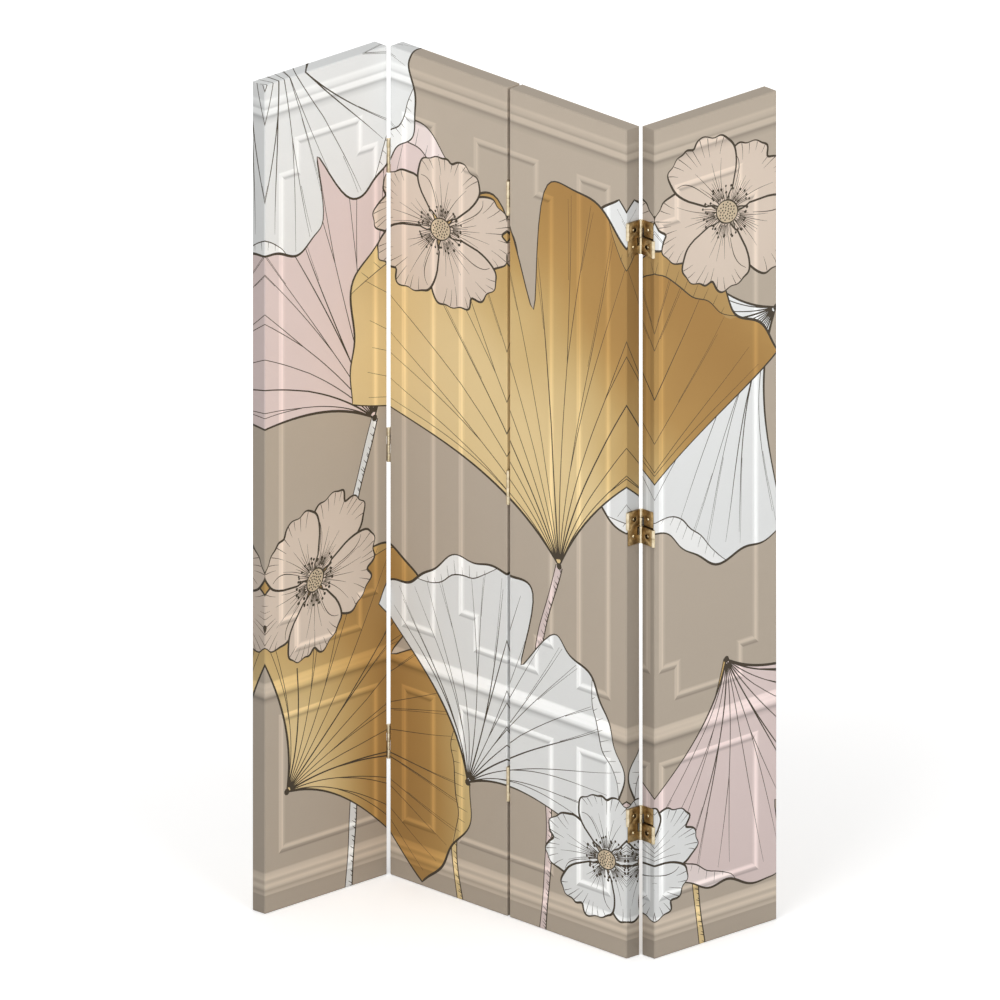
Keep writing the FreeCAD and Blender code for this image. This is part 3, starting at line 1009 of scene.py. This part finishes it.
def makeScrew():
    # a countersunk screw with a domed head and a cross recess, on the left leaf, seen from +X
    face = -hingeCut["leafFaces"][0]
    bpy.ops.mesh.primitive_uv_sphere_add(segments=24, ring_count=12, radius=hingeCut["screwRadius"] * mm,
                                         rotation=(0, math.radians(90), 0))
    screw = settled(screwMaterial, recessShadeBrass)
    screw.scale.x = hingeCut["screwDome"]
    screw.location.x = (face - hingeCut["screwProud"]) * mm
    settled(screwMaterial, recessShadeBrass)
    narrow, long, deep = hingeCut["cross"]
    # the cross recess in dark brass, as painted shade
    for y, z in ((narrow, long), (long, narrow)):
        cutOut(screw, block((face - deep, -y, -z), (face + 2, y, z), recessShadeBrass))
    return smoothed(screw)


def makePin():
    # one pin, from the seam to the outer end of its leaf knuckle, with a lightly domed end
    low, high = hingeCut["seam"], hingeCut["half"]
    return softened(rod(hingeCut["pin"], (0, 0, (low + high) / 2), high - low, 0, pinMaterial, sides=24),
                    hingeCut["pinBevel"])


def atHinges(template, place, panel, moves, name):
    # copies of a template at a line's three hinges, as one piece
    copies = []
    for share in hingeCut["shares"]:
        spot = Matrix.Translation((place * mm, 0, panelHeight * share * mm))
        copies += [copied(template, restMatrix[panel] @ spot @ move) for move in moves]
    return joined(copies, name)


def makeHinges():
    leaf, link, screw, pin = makeLeaf(), makeLink(), makeScrew(), makePin()
    stay = Matrix.Identity(4)
    across = Matrix.Rotation(math.pi, 4, "Z")        # left leaf to right leaf
    over = Matrix.Rotation(math.pi, 4, "X")          # upper link to lower link
    up, down = (Matrix.Translation((0, 0, way * hingeCut["screwHeight"] * mm)) for way in (1, -1))
    front, back = (Matrix.Translation((0, way * pinOffset * mm, 0)) for way in (-1, 1))
    parts = (
        (leaf, "Leaves", "Left", [stay]), (leaf, "Leaves", "Right", [across]),
        (link, "Links", "Upper", [stay]), (link, "Links", "Lower", [over]),
        (pin, "Pins", "Upper", [front, back]), (pin, "Pins", "Lower", [front @ over, back @ over]),
        (screw, "Screws", "Left", [up, down]), (screw, "Screws", "Right", [across @ up, across @ down]),
    )
    # each line's place, and the panels that stand as its pieces do at rest
    lines = {"12": (-pitch, {"Left": "1", "Right": "2", "Upper": "2", "Lower": "1"}),
             "23": (0.0, {"Left": "2", "Right": "3", "Upper": "2", "Lower": "3"}),
             "34": (pitch, {"Left": "3", "Right": "4", "Upper": "3", "Lower": "4"})}
    for key, (place, panels) in lines.items():
        for template, kind, side, moves in parts:
            panel = panels[side]
            piece = atHinges(template, place, panel, moves, "hinge" + kind + key + side)
            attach(piece, side.lower() + "_links_" + key if kind in ("Links", "Pins") else "panel_" + panel)
            if kind != "Screws":
                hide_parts("hinges_" + key + "_" + side.lower() + "_" + kind.lower())
    for template in (leaf, link, screw, pin):
        bpy.data.objects.remove(template)


makeHinges()
print("hinges made")


# staples that hold the canvas to the back of each frame

stapleCut = {
    "crown": 10.0, "wire": 1.2, "height": 0.36, "sunk": 0.3, "bevel": 0.25,
    "inset": 18.5, "spacing": 74.0, "stray": (2, 3), "lean": 9,      # mm and degrees that one strays
}


def makeStaples(panel):
    w, h, d, inset = panelWidth, panelHeight, panelDepth, stapleCut["inset"]
    left = leftEdge(panel)
    half, wire = stapleCut["crown"] / 2, stapleCut["wire"] / 2
    strayAcross, strayUp = stapleCut["stray"]
    lean = stapleCut["lean"]
    draw = random.Random(int(panel))
    places = []
    for length, spots in ((h, lambda s: ((inset, s, 90), (w - inset, s, 90))),
                          (w, lambda s: ((s, inset, 0), (s, h - inset, 0)))):
        count = round(length / stapleCut["spacing"])
        for i in range(count):
            places += spots(length * (i + 0.5) / count)
    crown = block((-half, -stapleCut["sunk"], -wire), (half, stapleCut["height"], wire), stapleMaterial)
    template = softened(crown, stapleCut["bevel"])
    copies = []
    for across, up, turn in places:
        spot = Vector((left + across + draw.uniform(-strayAcross, strayAcross), d / 2,
                       up + draw.uniform(-strayUp, strayUp))) * mm
        lay = Matrix.Rotation(math.radians(turn + draw.uniform(-lean, lean)), 4, "Y")
        copies.append(copied(template, restMatrix[panel] @ Matrix.Translation(spot) @ lay))
    bpy.data.objects.remove(template)
    piece = joined(copies, "canvasStaples" + panel)
    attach(piece, "panel_" + panel)


for panel in panelNames:
    makeStaples(panel)
print("staples made")


# studio: floor, light and camera

studio = {
    "floorHalf": 14.0, "floorDrop": 0.0005,
    "azimuth": 46.26, "elevation": 20.03,
    "pixelsPerMetre": 490.0,
    "anchorPixel": (390.05, 874.2),      # of panel 2's lower left front corner
    "imageSize": 1000.0,
    "sky": 0.52,
    "lift": (0.6, 3.2, 0.28, 0.62),      # of the floor to white: from and to how far out, and how much
    "aim": 0.9,                          # m above the floor
    # azimuth, elevation, distance in m, size in m, power in W
    "lamps": {"keyLight": (16, 38, 8.0, 4.5, 244), "fillLight": (82, 30, 8.0, 4.5, 196),
              "backLight": (225, 50, 4.5, 2.0, 26)},
}


def outward(azimuth, elevation):
    a, e = math.radians(azimuth), math.radians(elevation)
    return Vector((math.sin(a) * math.cos(e), -math.cos(a) * math.cos(e), math.sin(e)))


def facing(back):
    return (-back).to_track_quat("-Z", "Y").to_euler()


def seenDirectly(add):
    # 1 for what the camera sees, also in a mirror or through glass, 0 for light on its way
    path = add("LightPath")
    seen = add("Math", {0: path["Is Camera Ray"], 1: path["Is Glossy Ray"]}, operation="MAXIMUM")[0]
    return add("Math", {0: seen, 1: path["Is Transmission Ray"]}, operation="MAXIMUM")[0]


def makeFloor():
    half = studio["floorHalf"]
    mesh = bpy.data.meshes.new("studioFloor")
    mesh.from_pydata([(-half, -half, 0), (half, -half, 0), (half, half, 0), (-half, half, 0)], [], [(0, 1, 2, 3)])
    floor = newPiece("studioFloor", mesh)
    floor.location.z = -studio["floorDrop"]
    # matt white paper, seen lifted to white, less so near the screen, where a faint shadow stays
    material, add = startMaterial("whitePaper")
    far = add("VectorMath", {0: add("TexCoord")["Object"]}, operation="LENGTH")["Value"]
    limits = dict(zip(("From Min", "From Max", "To Min", "To Max"), studio["lift"]))
    lift = add("MapRange", {"Value": far, **limits}, interpolation_type="SMOOTHSTEP")["Result"]
    strength = add("Math", {0: seenDirectly(add), 1: lift}, operation="MULTIPLY")[0]
    glow = add("Emission", {"Color": (1, 1, 1, 1), "Strength": strength})["Emission"]
    shaders = material.node_tree.nodes
    both = add("AddShader", {0: shaders["Principled BSDF"].outputs["BSDF"], 1: glow})["Shader"]
    material.node_tree.links.new(both, shaders["Material Output"].inputs["Surface"])
    paint(floor, finished(material, Base_Color=fromHex("#F2F2F2"), Roughness=0.9, Specular_IOR_Level=0.0))


def makeLight():
    world = bpy.data.worlds.new("studioWorld")
    bpy.context.scene.world = world
    world.use_nodes = True
    world.node_tree.nodes.clear()
    add = partial(addNode, world.node_tree)
    strength = add("MapRange", {"Value": seenDirectly(add), "To Min": studio["sky"], "To Max": 1.0})["Result"]
    sky = add("Background", {"Color": (1, 1, 1, 1), "Strength": strength})["Background"]
    add("OutputWorld", {"Surface": sky})
    for name, (azimuth, elevation, distance, size, power) in studio["lamps"].items():
        lamp = bpy.data.lights.new(name, "AREA")
        lamp.energy, lamp.size = power, size
        light = newPiece(name, lamp)
        back = outward(azimuth, elevation)
        light.location = Vector((0, 0, studio["aim"])) + back * distance
        light.rotation_euler = facing(back)


def makeCamera():
    a = math.radians(studio["azimuth"])
    back = outward(studio["azimuth"], studio["elevation"])
    right = Vector((math.cos(a), math.sin(a), 0))
    up = back.cross(right)
    half = studio["imageSize"] / 2
    across = (studio["anchorPixel"][0] - half) / studio["pixelsPerMetre"]
    above = (half - studio["anchorPixel"][1]) / studio["pixelsPerMetre"]
    corner = atRest("2", Vector((leftEdge("2"), -panelDepth / 2, 0)))
    lens = bpy.data.cameras.new("camera")
    lens.type = "ORTHO"
    lens.ortho_scale = studio["imageSize"] / studio["pixelsPerMetre"]
    lens.clip_end = 40
    camera = newPiece("camera", lens)
    camera.location = corner - right * across - up * above + back * 6
    camera.rotation_euler = facing(back)
    bpy.context.scene.camera = camera


makeFloor()
makeLight()
makeCamera()
bpy.context.scene.view_settings.view_transform = "Standard"

print("scene ready")
